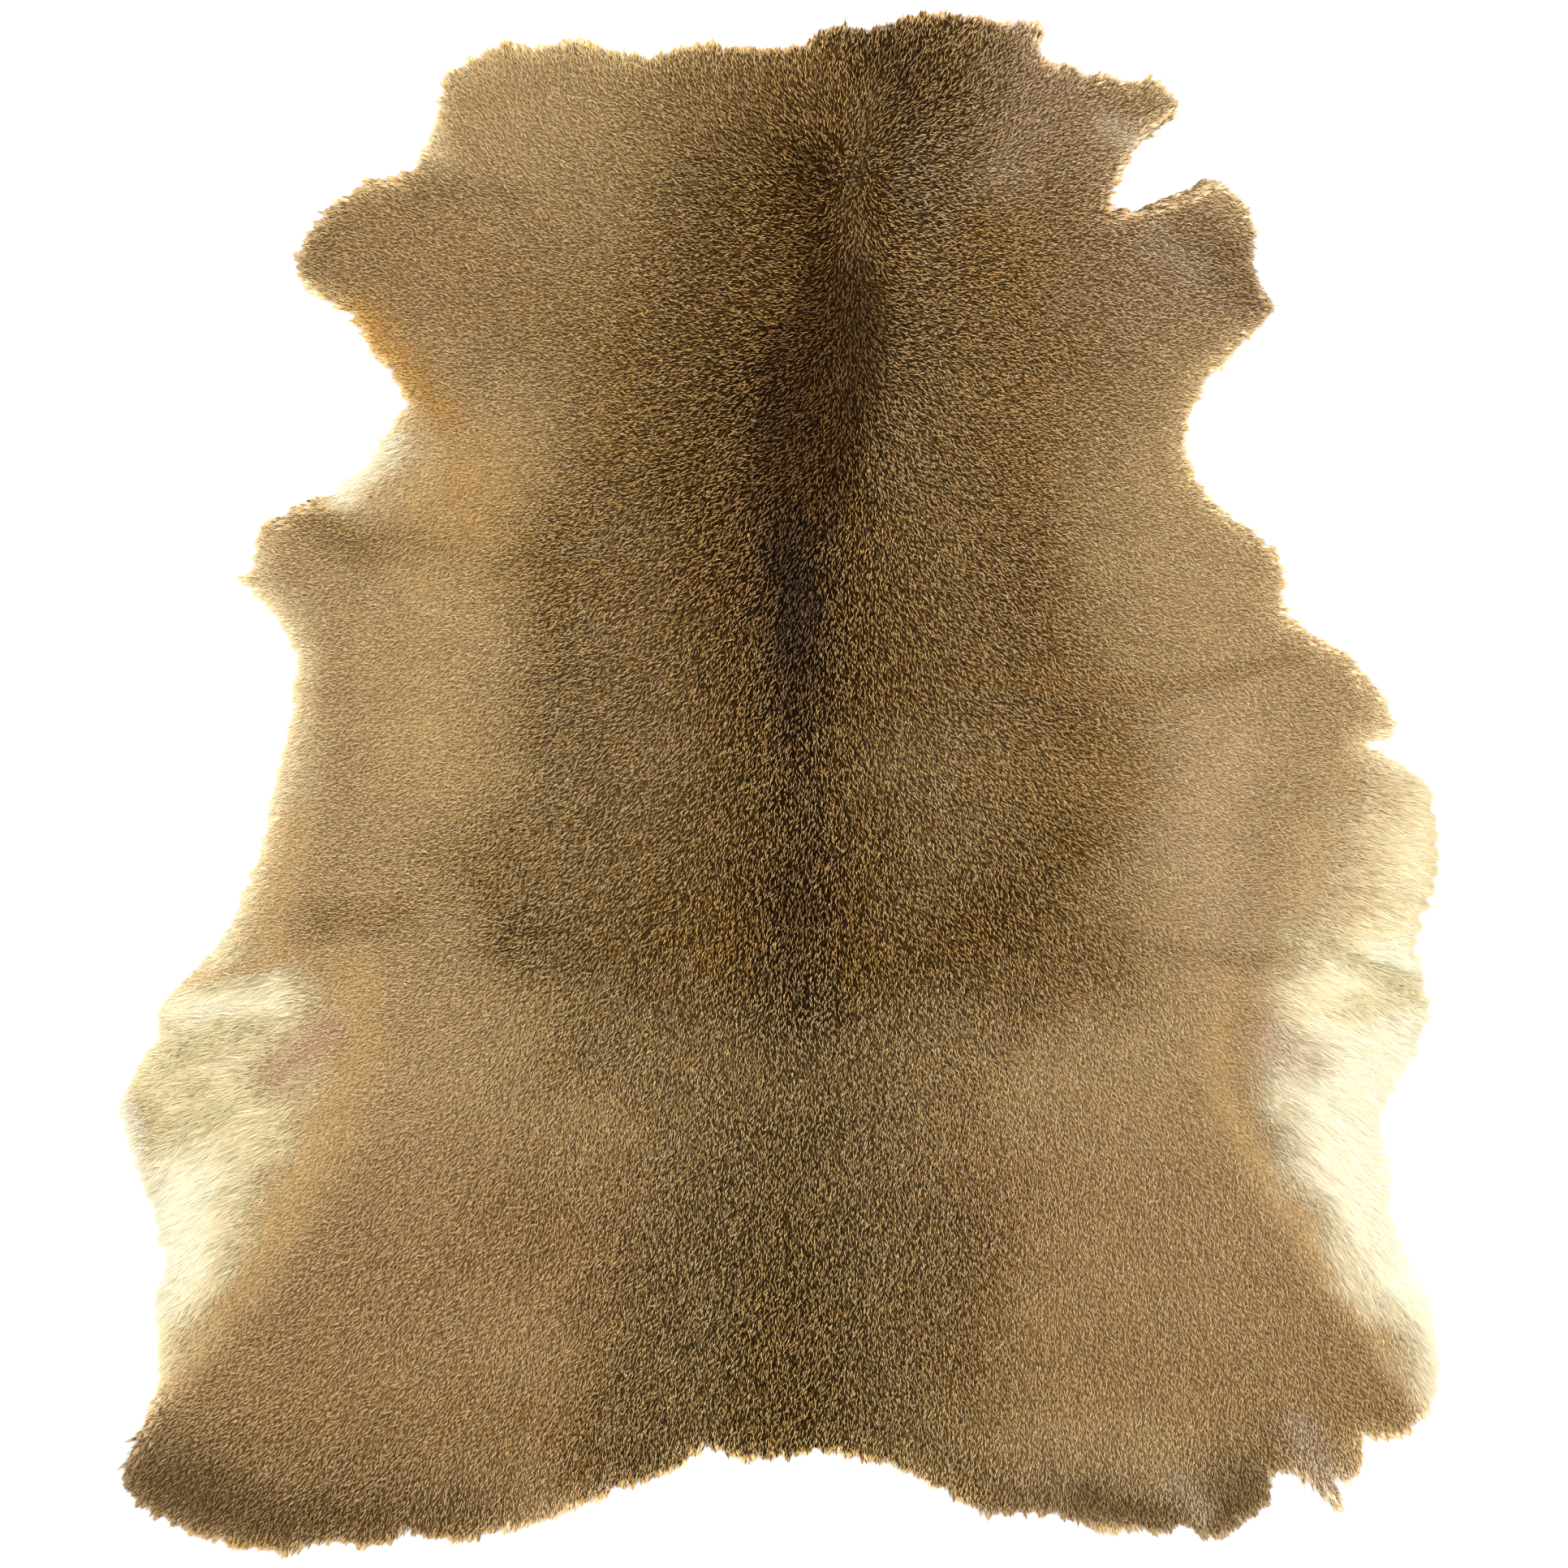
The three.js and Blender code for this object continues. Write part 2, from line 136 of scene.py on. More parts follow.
# Areas of the coat, painted in this order over the ground: a line through the area's middle, how far
# it reaches from that line, how well it covers, and the share of the reach that is soft edge.
Patch = namedtuple("Patch", "place shade line reach cover soft", defaults=(1.0, 1.0))
PATCHES = (
    # Neck, shoulders and legs
    Patch("left shoulder", "fawn", ((-0.29, 0.38), (-0.2, 0.35)), 0.12),
    Patch("left foreleg", "fawn", ((-0.33, 0.39), (-0.27, 0.39)), 0.06, 0.9, soft=0.9),
    Patch("left foreleg end", "deep brown", ((-0.34, 0.37), (-0.32, 0.4)), 0.024, 0.4),
    Patch("left neck swirl", "deep brown", ((-0.25, 0.425), (-0.19, 0.42)), 0.02, 0.3),
    Patch("left neck flap", "straw", ((-0.25, 0.48), (-0.235, 0.445)), 0.016, 0.6),
    Patch("left chest", "gold tan", ((-0.245, 0.22), (-0.21, 0.22), (-0.22, 0.17)), 0.08, 0.95),
    Patch("left neck", "light tan", ((-0.19, 0.5), (-0.09, 0.48)), 0.1, 0.5),
    Patch("right neck", "grey tan", ((0.17, 0.52), (0.19, 0.46), (0.19, 0.43)), 0.12),
    Patch("right shoulder", "dark shoulder", ((0.18, 0.37), (0.2, 0.3)), 0.11, soft=0.9),
    Patch("right foreleg", "neck brown", ((0.33, 0.37), (0.24, 0.37)), 0.09, soft=0.8),
    Patch("right foreleg end", "deep brown", ((0.335, 0.35), (0.32, 0.385)), 0.045, 0.6),
    Patch("right ribs", "ribs", ((0.155, 0.23), (0.16, 0.14), (0.2, 0.05)), 0.12, 0.9),
    # Thighs and hind edge
    Patch("left thigh", "thigh", ((-0.38, -0.4), (-0.3, -0.33), (-0.15, -0.34)), 0.14),
    Patch("right thigh", "thigh", ((0.14, -0.3), (0.3, -0.31), (0.36, -0.37)), 0.14),
    Patch("left hind", "hind brown", ((-0.4, -0.45), (-0.15, -0.45)), 0.1),
    Patch("right hind", "hind brown", ((0.43, -0.45), (0.28, -0.41), (0.14, -0.41)), 0.11),
    Patch("left hind corner", "deep brown", ((-0.45, -0.495), (-0.36, -0.52), (-0.22, -0.54)), 0.095),
    Patch("right hind edge", "deep brown", ((0.14, -0.51), (0.29, -0.53), (0.35, -0.5)), 0.065),
    # Back
    Patch("neck back", "back", ((0.055, 0.54), (0.04, 0.4)), 0.175),
    Patch("fore back", "back", FORE_RIDGE, 0.255),
    Patch("loin back", "back", ((0.01, 0.05), (0.004, -0.11)), 0.195),
    Patch("inner neck", "dark back", NECK_RIDGE, 0.085, 0.75),
    Patch("inner back", "dark back", FORE_RIDGE, 0.14),
    Patch("inner loin", "dark back", LOIN_RIDGE, 0.13),
    Patch("rear back", "lower back", REAR_RIDGE, 0.115),
    Patch("hip back", "lower back", ((-0.06, -0.31), (0.06, -0.29)), 0.1, 0.5),
    Patch("neck wedge", "dark grey", ((0.055, 0.55), (0.085, 0.51), (0.095, 0.42)), 0.056, 0.95),
    Patch("left ribs", "warm ribs", ((-0.11, 0.31), (-0.12, 0.12)), 0.09, 0.7),
    Patch("left blade", "dark back", ((-0.05, 0.35), (-0.075, 0.22)), 0.07, 0.4),
    Patch("left of stripe", "dark back", ((-0.06, 0.21), (-0.06, 0.15)), 0.045, 0.5),
    Patch("dark ribs", "dark back", ((0.04, 0.21), (0.01, 0.18), (-0.02, 0.14)), 0.1, 0.5),
    Patch("saddle", "saddle", ((-0.14, 0.17), (-0.135, 0.1), (-0.11, 0.03)), 0.08, 0.8),
    Patch("right saddle", "saddle", ((0.09, 0.015), (0.14, 0.015)), 0.05, 0.7),
    Patch("hips", "saddle", ((-0.15, -0.2), (-0.08, -0.19), (0.12, -0.2)), 0.055, 0.5),
    Patch("left chest band", "shadow", ((-0.31, 0.19), (-0.25, 0.168), (-0.12, 0.138)), 0.024, 0.5),
    Patch("right rib line", "shadow", ((0.12, 0.08), (0.28, 0.07), (0.36, 0.09)), 0.014, 0.6),
    Patch("left loin band", "loin", ((-0.18, -0.105), (-0.05, -0.11)), 0.065, 0.6),
    Patch("right loin band", "loin", ((0.06, -0.125), (0.22, -0.115)), 0.05, 0.5),
    Patch("left flank band", "warm ribs", ((-0.22, -0.05), (-0.1, -0.05)), 0.06, 0.4),
    Patch("right loin", "loin", ((0.2, -0.045), (0.17, -0.08), (0.15, -0.11)), 0.095, 0.8),
    Patch("right loin heart", "dark back", ((0.125, -0.1), (0.15, -0.09)), 0.04, 0.6),
    Patch("right loin skirt", "ribs", ((0.18, -0.15), (0.24, -0.13)), 0.065, 0.8),
    Patch("right of loin", "dark back", ((0.06, -0.03), (0.085, -0.12)), 0.06, 0.5),
    Patch("tail", "tail", ((0.01, -0.39), (0.01, -0.52)), 0.14),
    Patch("left rump", "lower back", ((-0.09, -0.39), (-0.095, -0.47)), 0.085, 0.8),
    Patch("right rump", "lower back", ((0.11, -0.34), (0.105, -0.5)), 0.09, 0.6),
    Patch("stripe", "stripe", ((0.018, 0.27), (0.006, 0.17), (0.01, 0.1)), 0.078),
    Patch(
        "lower stripe", "stripe",
        ((0.01, 0.08), (0.012, -0.02), (0.006, -0.08), (0.014, -0.16)), 0.064, 0.8,
    ),
    Patch("upper stripe", "warm stripe", ((0.05, 0.34), (0.038, 0.29), (0.02, 0.22)), 0.06),
    Patch("neck stripe", "warm stripe", ((0.02, 0.44), (0.026, 0.36), (0.018, 0.3)), 0.04, 0.7),
    Patch("right of parting", "smoke", ((0.11, 0.45), (0.1, 0.32), (0.09, 0.22)), 0.04, 0.5),
    Patch("parting", "dusk", ((0.062, 0.49), (0.052, 0.43), (0.058, 0.38)), 0.02, 0.6),
    Patch("lower parting", "umber", ((0.056, 0.36), (0.056, 0.29)), 0.03, 0.6),
    Patch("right neck light", "grey tan", ((0.19, 0.53), (0.16, 0.44)), 0.05, 0.6),
    # Flanks
    Patch("left flank", "light tan", ((-0.24, 0.11), (-0.25, 0.03)), 0.09, 0.9),
    Patch(
        "left flank edge", "straw",
        ((-0.358, 0.11), (-0.35, 0.03), (-0.364, -0.04), (-0.395, -0.12)), 0.042,
    ),
    Patch("left flank gold", "ochre", ((-0.345, -0.03), (-0.35, -0.07), (-0.36, -0.11)), 0.026, 0.7),
    Patch("right waist", "warm tan", ((0.17, 0.01), (0.25, 0.0)), 0.055, 0.6),
    Patch("right flank", "pinkish tan", ((0.31, 0.02), (0.3, -0.04), (0.32, -0.1)), 0.07, 0.8),
    Patch("right flank edge", "wheat", ((0.455, 0.01), (0.438, -0.04), (0.425, -0.1)), 0.088),
    Patch("right flank rim", "wheat", ((0.45, -0.05), (0.435, -0.11)), 0.05, 0.7),
    # Belly: its borders, its pale field, painted shade along the soft folds in it and the two thin-haired
    # spots
    Patch(
        "left border", "ochre",
        ((-0.302, -0.14), (-0.3, -0.2), (-0.328, -0.25), (-0.358, -0.315), (-0.432, -0.412)), 0.037,
    ),
    Patch(
        "right border", "ochre",
        ((0.318, -0.14), (0.308, -0.19), (0.318, -0.235), (0.345, -0.28), (0.455, -0.43)), 0.022, 0.9,
    ),
    Patch(
        "left belly", "butter",
        ((-0.4, -0.17), (-0.36, -0.172), (-0.365, -0.2), (-0.395, -0.26), (-0.465, -0.395)),
        0.058, soft=0.6,
    ),
    Patch("left outer belly", "butter", ((-0.43, -0.19), (-0.42, -0.25)), 0.05, soft=0.8),
    Patch("left hind belly", "cream", ((-0.41, -0.27), (-0.42, -0.32)), 0.048, 0.9),
    Patch("left belly silver", "silver", ((-0.435, -0.265), (-0.425, -0.36)), 0.02, 0.6),
    Patch("left belly top", "cream", ((-0.42, -0.155), (-0.35, -0.145)), 0.024, 0.6),
    Patch("left belly edge", "white", ((-0.47, -0.23), (-0.455, -0.27), (-0.452, -0.37)), 0.028, 0.8),
    Patch("left belly inside", "wheat", ((-0.43, -0.205), (-0.38, -0.192)), 0.018, 0.7),
    # painted shade along two soft folds of the left belly
    Patch("left upper fold", "sage", ((-0.45, -0.205), (-0.41, -0.185), (-0.36, -0.168)), 0.018, 0.8),
    Patch("left lower fold", "sage", ((-0.44, -0.25), (-0.4, -0.23), (-0.355, -0.215)), 0.016, 0.7),
    Patch(
        "right belly", "cream",
        ((0.43, -0.155), (0.388, -0.165), (0.378, -0.215), (0.4, -0.265), (0.484, -0.405)), 0.058, soft=0.7,
    ),
    Patch("right outer belly", "cream", ((0.43, -0.14), (0.43, -0.2), (0.42, -0.27)), 0.05, soft=0.6),
    Patch("right belly edge", "white", ((0.45, -0.2), (0.43, -0.24), (0.45, -0.33)), 0.034, 0.7),
    Patch("right belly top", "wheat", ((0.36, -0.15), (0.4, -0.15)), 0.03, 0.8),
    # painted shade along a soft fold of the right belly, in the butter colour
    Patch("right upper fold", "butter", ((0.375, -0.155), (0.41, -0.15), (0.45, -0.145)), 0.012, 0.7),
    Patch("left groin", "rosy", ((-0.322, -0.172), (-0.338, -0.19), (-0.356, -0.208)), 0.026, 0.9),
    Patch("right groin", "rosy", ((0.34, -0.176), (0.366, -0.192)), 0.026, 0.45),
    # Armpits
    Patch("left armpit gold", "amber", ((-0.298, 0.335), (-0.27, 0.3), (-0.24, 0.262)), 0.03, 0.9),
    Patch("left armpit rim", "straw", ((-0.335, 0.352), (-0.288, 0.3), (-0.264, 0.268)), 0.011, 0.9),
    Patch("left armpit fan", "straw", ((-0.26, 0.24), (-0.295, 0.214)), 0.042, 0.7),
    Patch("left armpit fringe", "cream", ((-0.268, 0.245), (-0.305, 0.212)), 0.016, 0.7),
    Patch("right armpit", "ochre", ((0.315, 0.29), (0.3, 0.245)), 0.022, 0.8),
    Patch("right armpit fringe", "cream", ((0.345, 0.325), (0.295, 0.24)), 0.01, 0.7),
    Patch("left chest fringe", "straw", ((-0.375, 0.17), (-0.36, 0.13), (-0.34, 0.08)), 0.024, 0.7),
    Patch("left chest shade", "shadow", ((-0.345, 0.196), (-0.318, 0.178), (-0.29, 0.166)), 0.022, 0.6),
    # Creases, painted in shade, then tufts and the golden trim
    Patch("left crease", "shadow", ((-0.265, -0.088), (-0.325, -0.095)), 0.032, 0.75),
    # painted crease shadow, in ochre, along the top of the left belly
    Patch("left belly crease", "ochre", ((-0.29, -0.113), (-0.35, -0.122), (-0.415, -0.137)), 0.01, 0.7),
    Patch("right hip crease", "shadow", ((0.27, -0.116), (0.34, -0.126)), 0.014, 0.4),
    # painted crease shade on the right belly
    Patch("right belly crease", "sage", ((0.36, -0.106), (0.41, -0.13), (0.455, -0.148)), 0.012, 0.8),
    Patch(
        "hind edge left", "amber",
        ((-0.45, -0.53), (-0.36, -0.552), (-0.26, -0.545), (-0.15, -0.535)), 0.014, 0.6,
    ),
    Patch("hind edge right", "ochre", ((0.19, -0.526), (0.33, -0.541)), 0.01, 0.8),
    Patch("hind tuft", "grey", ((0.37, -0.46), (0.395, -0.5)), 0.026, 0.8),
    Patch("hind grey", "grey", ((0.28, -0.495), (0.3, -0.515)), 0.016, 0.7),
    Patch("neck scallop", "neck brown", ((0.22, 0.5), (0.27, 0.485)), 0.035, 0.6),
    Patch("neck flap", "pale grey", ((0.23, 0.468), (0.252, 0.452)), 0.018, 0.8),
    Patch("foreleg cuff", "grey", ((0.262, 0.385), (0.287, 0.365)), 0.024, 0.5),
    Patch("foreleg gold", "tan", ((0.308, 0.422), (0.32, 0.4)), 0.02, 0.5),
)

# How strongly light and dark hairs differ at these places across the hide and down it. It goes with
# the depth of the shade there.
GRAIN_ACROSS = (-0.42, -0.34, -0.26, -0.18, -0.10, -0.02, 0.06, 0.14, 0.22, 0.30, 0.38, 0.46)
Grain = namedtuple("Grain", "place y strengths")
GRAIN = (
    Grain("neck", 0.50, (0.35, 0.35, 0.45, 0.60, 0.75, 0.60, 0.70, 1.00, 0.80, 0.50, 0.40, 0.40)),
    Grain("shoulders", 0.40, (0.32, 0.34, 0.36, 0.60, 0.75, 0.80, 0.70, 0.62, 0.72, 0.45, 0.40, 0.40)),
    Grain("chest", 0.26, (0.30, 0.32, 0.34, 0.48, 0.80, 1.00, 0.80, 0.90, 0.52, 0.42, 0.35, 0.35)),
    Grain("ribs", 0.14, (0.34, 0.32, 0.38, 0.90, 1.30, 1.30, 1.08, 1.20, 0.55, 0.28, 0.30, 0.34)),
    Grain("flanks", 0.02, (0.36, 0.38, 0.50, 1.20, 1.60, 1.40, 1.30, 1.30, 0.80, 0.32, 0.30, 0.30)),
    Grain("loin", -0.06, (0.32, 0.28, 0.66, 1.30, 1.50, 1.10, 1.15, 1.15, 0.64, 0.32, 0.22, 0.32)),
    Grain("belly", -0.16, (0.30, 0.34, 0.60, 1.08, 1.30, 1.20, 1.20, 1.05, 0.70, 0.40, 0.30, 0.28)),
    Grain("hips", -0.28, (0.30, 0.28, 0.48, 0.96, 1.03, 1.20, 1.05, 1.00, 0.48, 0.32, 0.24, 0.30)),
    Grain("thighs", -0.40, (0.32, 0.52, 0.64, 0.62, 0.80, 1.05, 0.88, 0.72, 0.40, 0.24, 0.26, 0.34)),
    Grain("hind edge", -0.48, (0.45, 0.75, 0.70, 0.90, 0.88, 1.00, 0.72, 0.48, 0.48, 0.46, 0.52, 0.45)),
)

GRAIN_GAIN = 1.4  # turns the table's strengths into depth
GRAIN_BASE = 0.2  # what the fine hair needs on top of the table
DEEPEST = 1.5  # no depth is above this

# The way the hair lies, in degrees anticlockwise from +X as seen from above, at these places across
# the hide and down it. On the neck the coat parts a little right of the middle.
FLOW_ACROSS = (
    -0.45, -0.36, -0.27, -0.18, -0.09, -0.03, 0.02, 0.05, 0.08, 0.13, 0.20, 0.28, 0.37, 0.45
)
Flow = namedtuple("Flow", "place y headings")
FLOW = (
    Flow("neck edge", 0.525, (150, 150, 140, 115, 105, 98, 92, 88, 84, 72, 62, 50, 30, 10)),
    Flow("neck", 0.475, (170, 170, 150, 152, 158, 150, 130, 90, 50, 35, 32, 30, 10, 0)),
    Flow("forelegs", 0.410, (180, 178, 168, 172, 176, 178, 182, 270, -5, 0, 5, -2, -4, 0)),
    Flow("shoulders", 0.330, (180, 180, 184, 184, 186, 190, 200, 270, -15, -8, -5, -4, -4, 0)),
    Flow("armpits", 0.260, (185, 190, 200, 190, 198, 212, 240, 275, -40, -22, -12, -8, -5, 0)),
    Flow("chest", 0.180, (185, 188, 225, 208, 218, 236, 258, 280, -60, -38, -20, -13, -10, -10)),
    Flow("ribs", 0.100, (195, 198, 205, 213, 226, 246, 266, 283, -64, -45, -28, -19, -16, -14)),
    Flow("flanks", 0.010, (205, 204, 209, 220, 235, 250, 268, 282, -68, -52, -35, -20, -12, -10)),
    Flow("loin", -0.090, (215, 205, 190, 222, 243, 257, 270, 282, -70, -58, -42, -20, -12, -14)),
    Flow("belly", -0.175, (195, 200, 218, 238, 255, 264, 270, 276, -78, -70, -60, -42, -24, -20)),
    Flow("hips", -0.280, (215, 220, 230, 246, 258, 264, 270, 275, -80, -74, -68, -58, -42, -34)),
    Flow("thighs", -0.370, (230, 232, 238, 249, 258, 265, 270, 275, -80, -74, -70, -62, -58, -52)),
    Flow("rump", -0.450, (222, 228, 238, 252, 262, 268, 270, 273, -84, -80, -76, -70, -62, -48)),
    Flow("hind edge", -0.530, (228, 244, 250, 262, 266, 270, 270, 272, -86, -84, -80, -78, -60, -50)),
)
WHIRL = 110  # degrees by which hairs turn where the directions round them disagree

# Smooth chance: the span over which it changes, and a seed of its own.
Chance = namedtuple("Chance", "span seed")
RAGGED = Chance(span=0.016, seed=21)
RAGGED_FINE = Chance(span=0.006, seed=22)
MOTTLED = Chance(span=0.030, seed=23)
MOTTLED_FINE = Chance(span=0.011, seed=24)
WAVY = Chance(span=0.045, seed=25)
TUFTED = Chance(span=0.012, seed=31)
TUFTED_WIDE = Chance(span=0.035, seed=32)
LOCKED = Chance(span=0.004, seed=41)
TOOTHED = Chance(span=0.0038, seed=51)
RAGGED_MOST = 0.006  # at the most, a patch's edge strays by about this
WAVY_MOST = 0.010  # and by about this in its wide waves

# Where the hairs are rooted
ROOT_HEIGHT = 0.8  # share of the leather's thickness below the roots
ROOT_SCATTER = 0.45  # share of the gap between roots by which each strays
RANK_SCATTER = 1.4  # how far ranks stray from their even turn
COAT_INSET = 0.003  # no root of the coat is nearer to the edge
RIM_INSET = 0.0035  # nor one of the rim hairs
RIM_SPREAD = 0.010  # how far rim hairs are rooted from the edge line, each way
LOWEST_HAIR = 0.0001  # keeps the hairs above the floor
SHORTEST_HAIR = 0.003  # where a hair is cut back at the edge

# How hairs differ: guard hairs stand on top, and the others are the undercoat
GUARD_SIZE = 1.15
UNDER_SIZE = 0.88
PALE_FLATNESS = 0.88  # pale hair rises this much less
EDGE_SLOPE = 0.022  # nearer to the edge than this, the coat lies flatter
EDGE_RISE = 0.35  # share of the rise that is left at the edge itself
GUARD_RICHNESS = 0.76  # below 1 a colour is greyer, above 1 it is richer
UNDER_RICHNESS = 1.25
BRIGHTEST = 0.95
LIFT_LIMITS = (0.10, 3.0)  # a hair's light against the coat's average there
LOCK_REACH = 0.030  # how far a lock runs along the hair, each way

# The lamps: their corner, and their share of the light
Lamp = namedtuple("Lamp", "name across down share")
LAMPS = (
    Lamp("light_upper_left", -1, 1, 1.3),
    Lamp("light_upper_right", 1, 1, 1.2),
    Lamp("light_lower_left", -1, -1, 0.8),
    Lamp("light_lower_right", 1, -1, 0.8),
)
LAMP_REACH = 1.5
LAMP_HEIGHT = 2.3
LAMP_SIZE = 1.3


# Settings

class HideSettings(bpy.types.PropertyGroup):
    leather: FloatProperty(
        name="Leather", description="Thickness of the tanned skin", default=0.0018, unit="LENGTH"
    )
    trim: FloatProperty(
        name="Trim", description="How far the skin's edge stays inside the hair tips", default=0.004,
        unit="LENGTH",
    )
    hair_length: FloatProperty(
        name="Hair length", description="Length of a hair of the short coat", default=0.0064,
        unit="LENGTH",
    )
    hair_width: FloatProperty(
        name="Hair width", description="Width of a blade of the short coat", default=0.00095,
        unit="LENGTH",
    )
    hairs: IntProperty(
        name="Hairs", description="Blades of the short coat, over the whole hide", default=800000
    )
    strands: IntProperty(
        name="Strands", description="Long silky strands on the belly and the armpits", default=40000
    )
    rim_hairs: IntProperty(
        name="Rim hairs", description="Strands that stand out over the trimmed edge", default=12000
    )
    seed: IntProperty(name="Seed", description="Picks another coat of the same kind", default=11)
    suede: FloatVectorProperty(
        name="Suede", description="Colour of the bare underside", default=(0.80, 0.73, 0.62),
        subtype="COLOR_GAMMA", min=0.0, max=1.0,
    )


class StudioSettings(bpy.types.PropertyGroup):
    floor_colour: FloatVectorProperty(
        name="Floor", description="Colour of the floor", default=(0.985, 0.985, 0.985),
        subtype="COLOR_GAMMA", min=0.0, max=1.0,
    )
    camera_height: FloatProperty(
        name="Camera height", description="Camera above the floor", default=4.0, unit="LENGTH"
    )
    framed_width: FloatProperty(
        name="Framed width", description="Width that the picture covers at the hide", default=1.1155,
        unit="LENGTH",
    )
    light_power: FloatProperty(
        name="Light power", description="Power of each soft light", default=23.5, unit="POWER"
    )
    sky_strength: FloatProperty(
        name="Sky strength", description="Brightness of the white surroundings", default=0.94
    )


# Maps of the plan

def smooth(share):
    """Eases a share between 0 and 1."""
    held = np.clip(share, 0.0, 1.0)
    return held * held * (3.0 - 2.0 * held)


def linear_colour(values):
    """Turns screen colour shares into the linear ones that the shaders use."""
    values = np.asarray(values, dtype=float)
    return np.where(values <= 0.04045, values / 12.92, ((values + 0.055) / 1.055) ** 2.4)


def lightness(colour):
    """How light each linear colour looks."""
    return colour @ LIGHT_SHARES


class PlanMap:
    """Values on an even grid over the hide's plan, looked up in between."""

    def __init__(self, step, values=None):
        self.step = step
        self.x0 = HIDE_LOW.x - PLAN_MARGIN
        self.y0 = HIDE_LOW.y - PLAN_MARGIN
        self.columns = math.ceil((HIDE_SIZE.x + 2 * PLAN_MARGIN) / step) + 1
        self.rows = math.ceil((HIDE_SIZE.y + 2 * PLAN_MARGIN) / step) + 1
        self.values = values

    def axes(self):
        """The places of the grid's columns and rows."""
        return self.x0 + np.arange(self.columns) * self.step, self.y0 + np.arange(self.rows) * self.step

    def at(self, x, y):
        """The values at these places."""
        across = np.clip((x - self.x0) / self.step, 0, self.columns - 1.001)
        down = np.clip((y - self.y0) / self.step, 0, self.rows - 1.001)
        column, row = across.astype(int), down.astype(int)
        u, v = across - column, down - row
        grid = self.values
        near = grid[row, column] * (1 - u) + grid[row, column + 1] * u
        far = grid[row + 1, column] * (1 - u) + grid[row + 1, column + 1] * u
        return near * (1 - v) + far * v


def noise_map(chance):
    """Smooth chance between -1 and 1."""
    made = PlanMap(chance.span)
    made.values = np.random.default_rng(chance.seed).uniform(-1, 1, (made.rows, made.columns))
    return made


def edge_map(segments, step=0.0025):
    """How far each place lies inside the hide's edge, and less than 0 outside it."""
    made = PlanMap(step)
    xs, ys = made.axes()
    gap = np.full((made.rows, made.columns), np.inf)
    inside = np.zeros((made.rows, made.columns), dtype=bool)
    for (ax, ay), (bx, by) in segments:
        run = np.array((bx - ax, by - ay))
        share = ((xs[None, :] - ax) * run[0] + (ys[:, None] - ay) * run[1]) / (run @ run)
        held = np.clip(share, 0, 1)
        away = np.hypot(ax + held * run[0] - xs[None, :], ay + held * run[1] - ys[:, None])
        np.minimum(gap, away, out=gap)
        crossed = (ys >= min(ay, by)) & (ys < max(ay, by))
        if crossed.any():
            meets = ax + (ys[crossed] - ay) / (by - ay) * run[0]
            inside[crossed] ^= xs[None, :] < meets[:, None]
    made.values = np.where(inside, gap, -gap)
    return made


def line_distance(x, y, line):
    """Distance of each place to a line through the given points."""
    nearest = np.full(x.shape, np.inf)
    for (ax, ay), (bx, by) in zip(line, line[1:]):
        run_x, run_y = bx - ax, by - ay
        share = np.clip(((x - ax) * run_x + (y - ay) * run_y) / (run_x**2 + run_y**2), 0, 1)
        nearest = np.minimum(nearest, np.hypot(ax + share * run_x - x, ay + share * run_y - y))
    return nearest


def table_at(across, levels, table, x, y):
    """Looks places up in a table with a column for each place across and a row for each level."""
    levels = np.array(levels)
    level = np.clip(np.searchsorted(levels, y) - 1, 0, len(levels) - 2)
    share = smooth((y - levels[level]) / (levels[level + 1] - levels[level]))
    columns = np.array([np.interp(x, across, row) for row in table])
    each = np.arange(len(x))
    return columns[level, each] * (1 - share) + columns[level + 1, each] * share


def coat_field(x, y):
    """The coat's average colour, linear, and its depth from tip to root at each place."""
    ragged = noise_map(RAGGED).at(x, y) + 0.7 * noise_map(RAGGED_FINE).at(x, y)
    wavy = noise_map(WAVY).at(x, y)
    ground = SHADES[GROUND_SHADE]
    colour = np.tile(linear_colour(np.array(ground[:3]) / 255), (len(x), 1))
    depth = np.full(len(x), ground.depth)
    for patch in PATCHES:
        shade = SHADES[patch.shade]
        away = line_distance(x, y, patch.line)
        away += ragged * min(0.12 * patch.reach, RAGGED_MOST) + wavy * min(0.16 * patch.reach, WAVY_MOST)
        soft = patch.reach * patch.soft
        cover = patch.cover * smooth((patch.reach - away) / soft)
        target = linear_colour(np.array(shade[:3]) / 255)
        colour += (target - colour) * cover[:, None]
        depth += (shade.depth - depth) * cover
    mottle = 1 + 0.05 * noise_map(MOTTLED).at(x, y) + 0.04 * noise_map(MOTTLED_FINE).at(x, y)
    rows = sorted(GRAIN, key=lambda row: row.y)
    grain = table_at(GRAIN_ACROSS, [row.y for row in rows], [row.strengths for row in rows], x, y)
    return colour * mottle[:, None], np.minimum(GRAIN_GAIN * depth * (grain + GRAIN_BASE), DEEPEST)


def flow_heading(x, y):
    """The way the hair lies at each place, in radians, and how well its neighbours agree with it."""
    rows = sorted(FLOW, key=lambda row: row.y)
    levels = [row.y for row in rows]
    turns = np.radians([row.headings for row in rows])
    to_right = table_at(FLOW_ACROSS, levels, np.cos(turns), x, y)
    to_neck = table_at(FLOW_ACROSS, levels, np.sin(turns), x, y)
    return np.arctan2(to_neck, to_right), np.hypot(to_right, to_neck)


def streaks(x, y, heading):
    """Chance drawn out along the hair, so that it makes locks."""
    chance = noise_map(LOCKED)
    steps = np.linspace(-LOCK_REACH, LOCK_REACH, 13)
    total = sum(chance.at(x + step * np.cos(heading), y + step * np.sin(heading)) for step in steps)
    return total / 3.0  # the sum of 13 chances spreads about this far


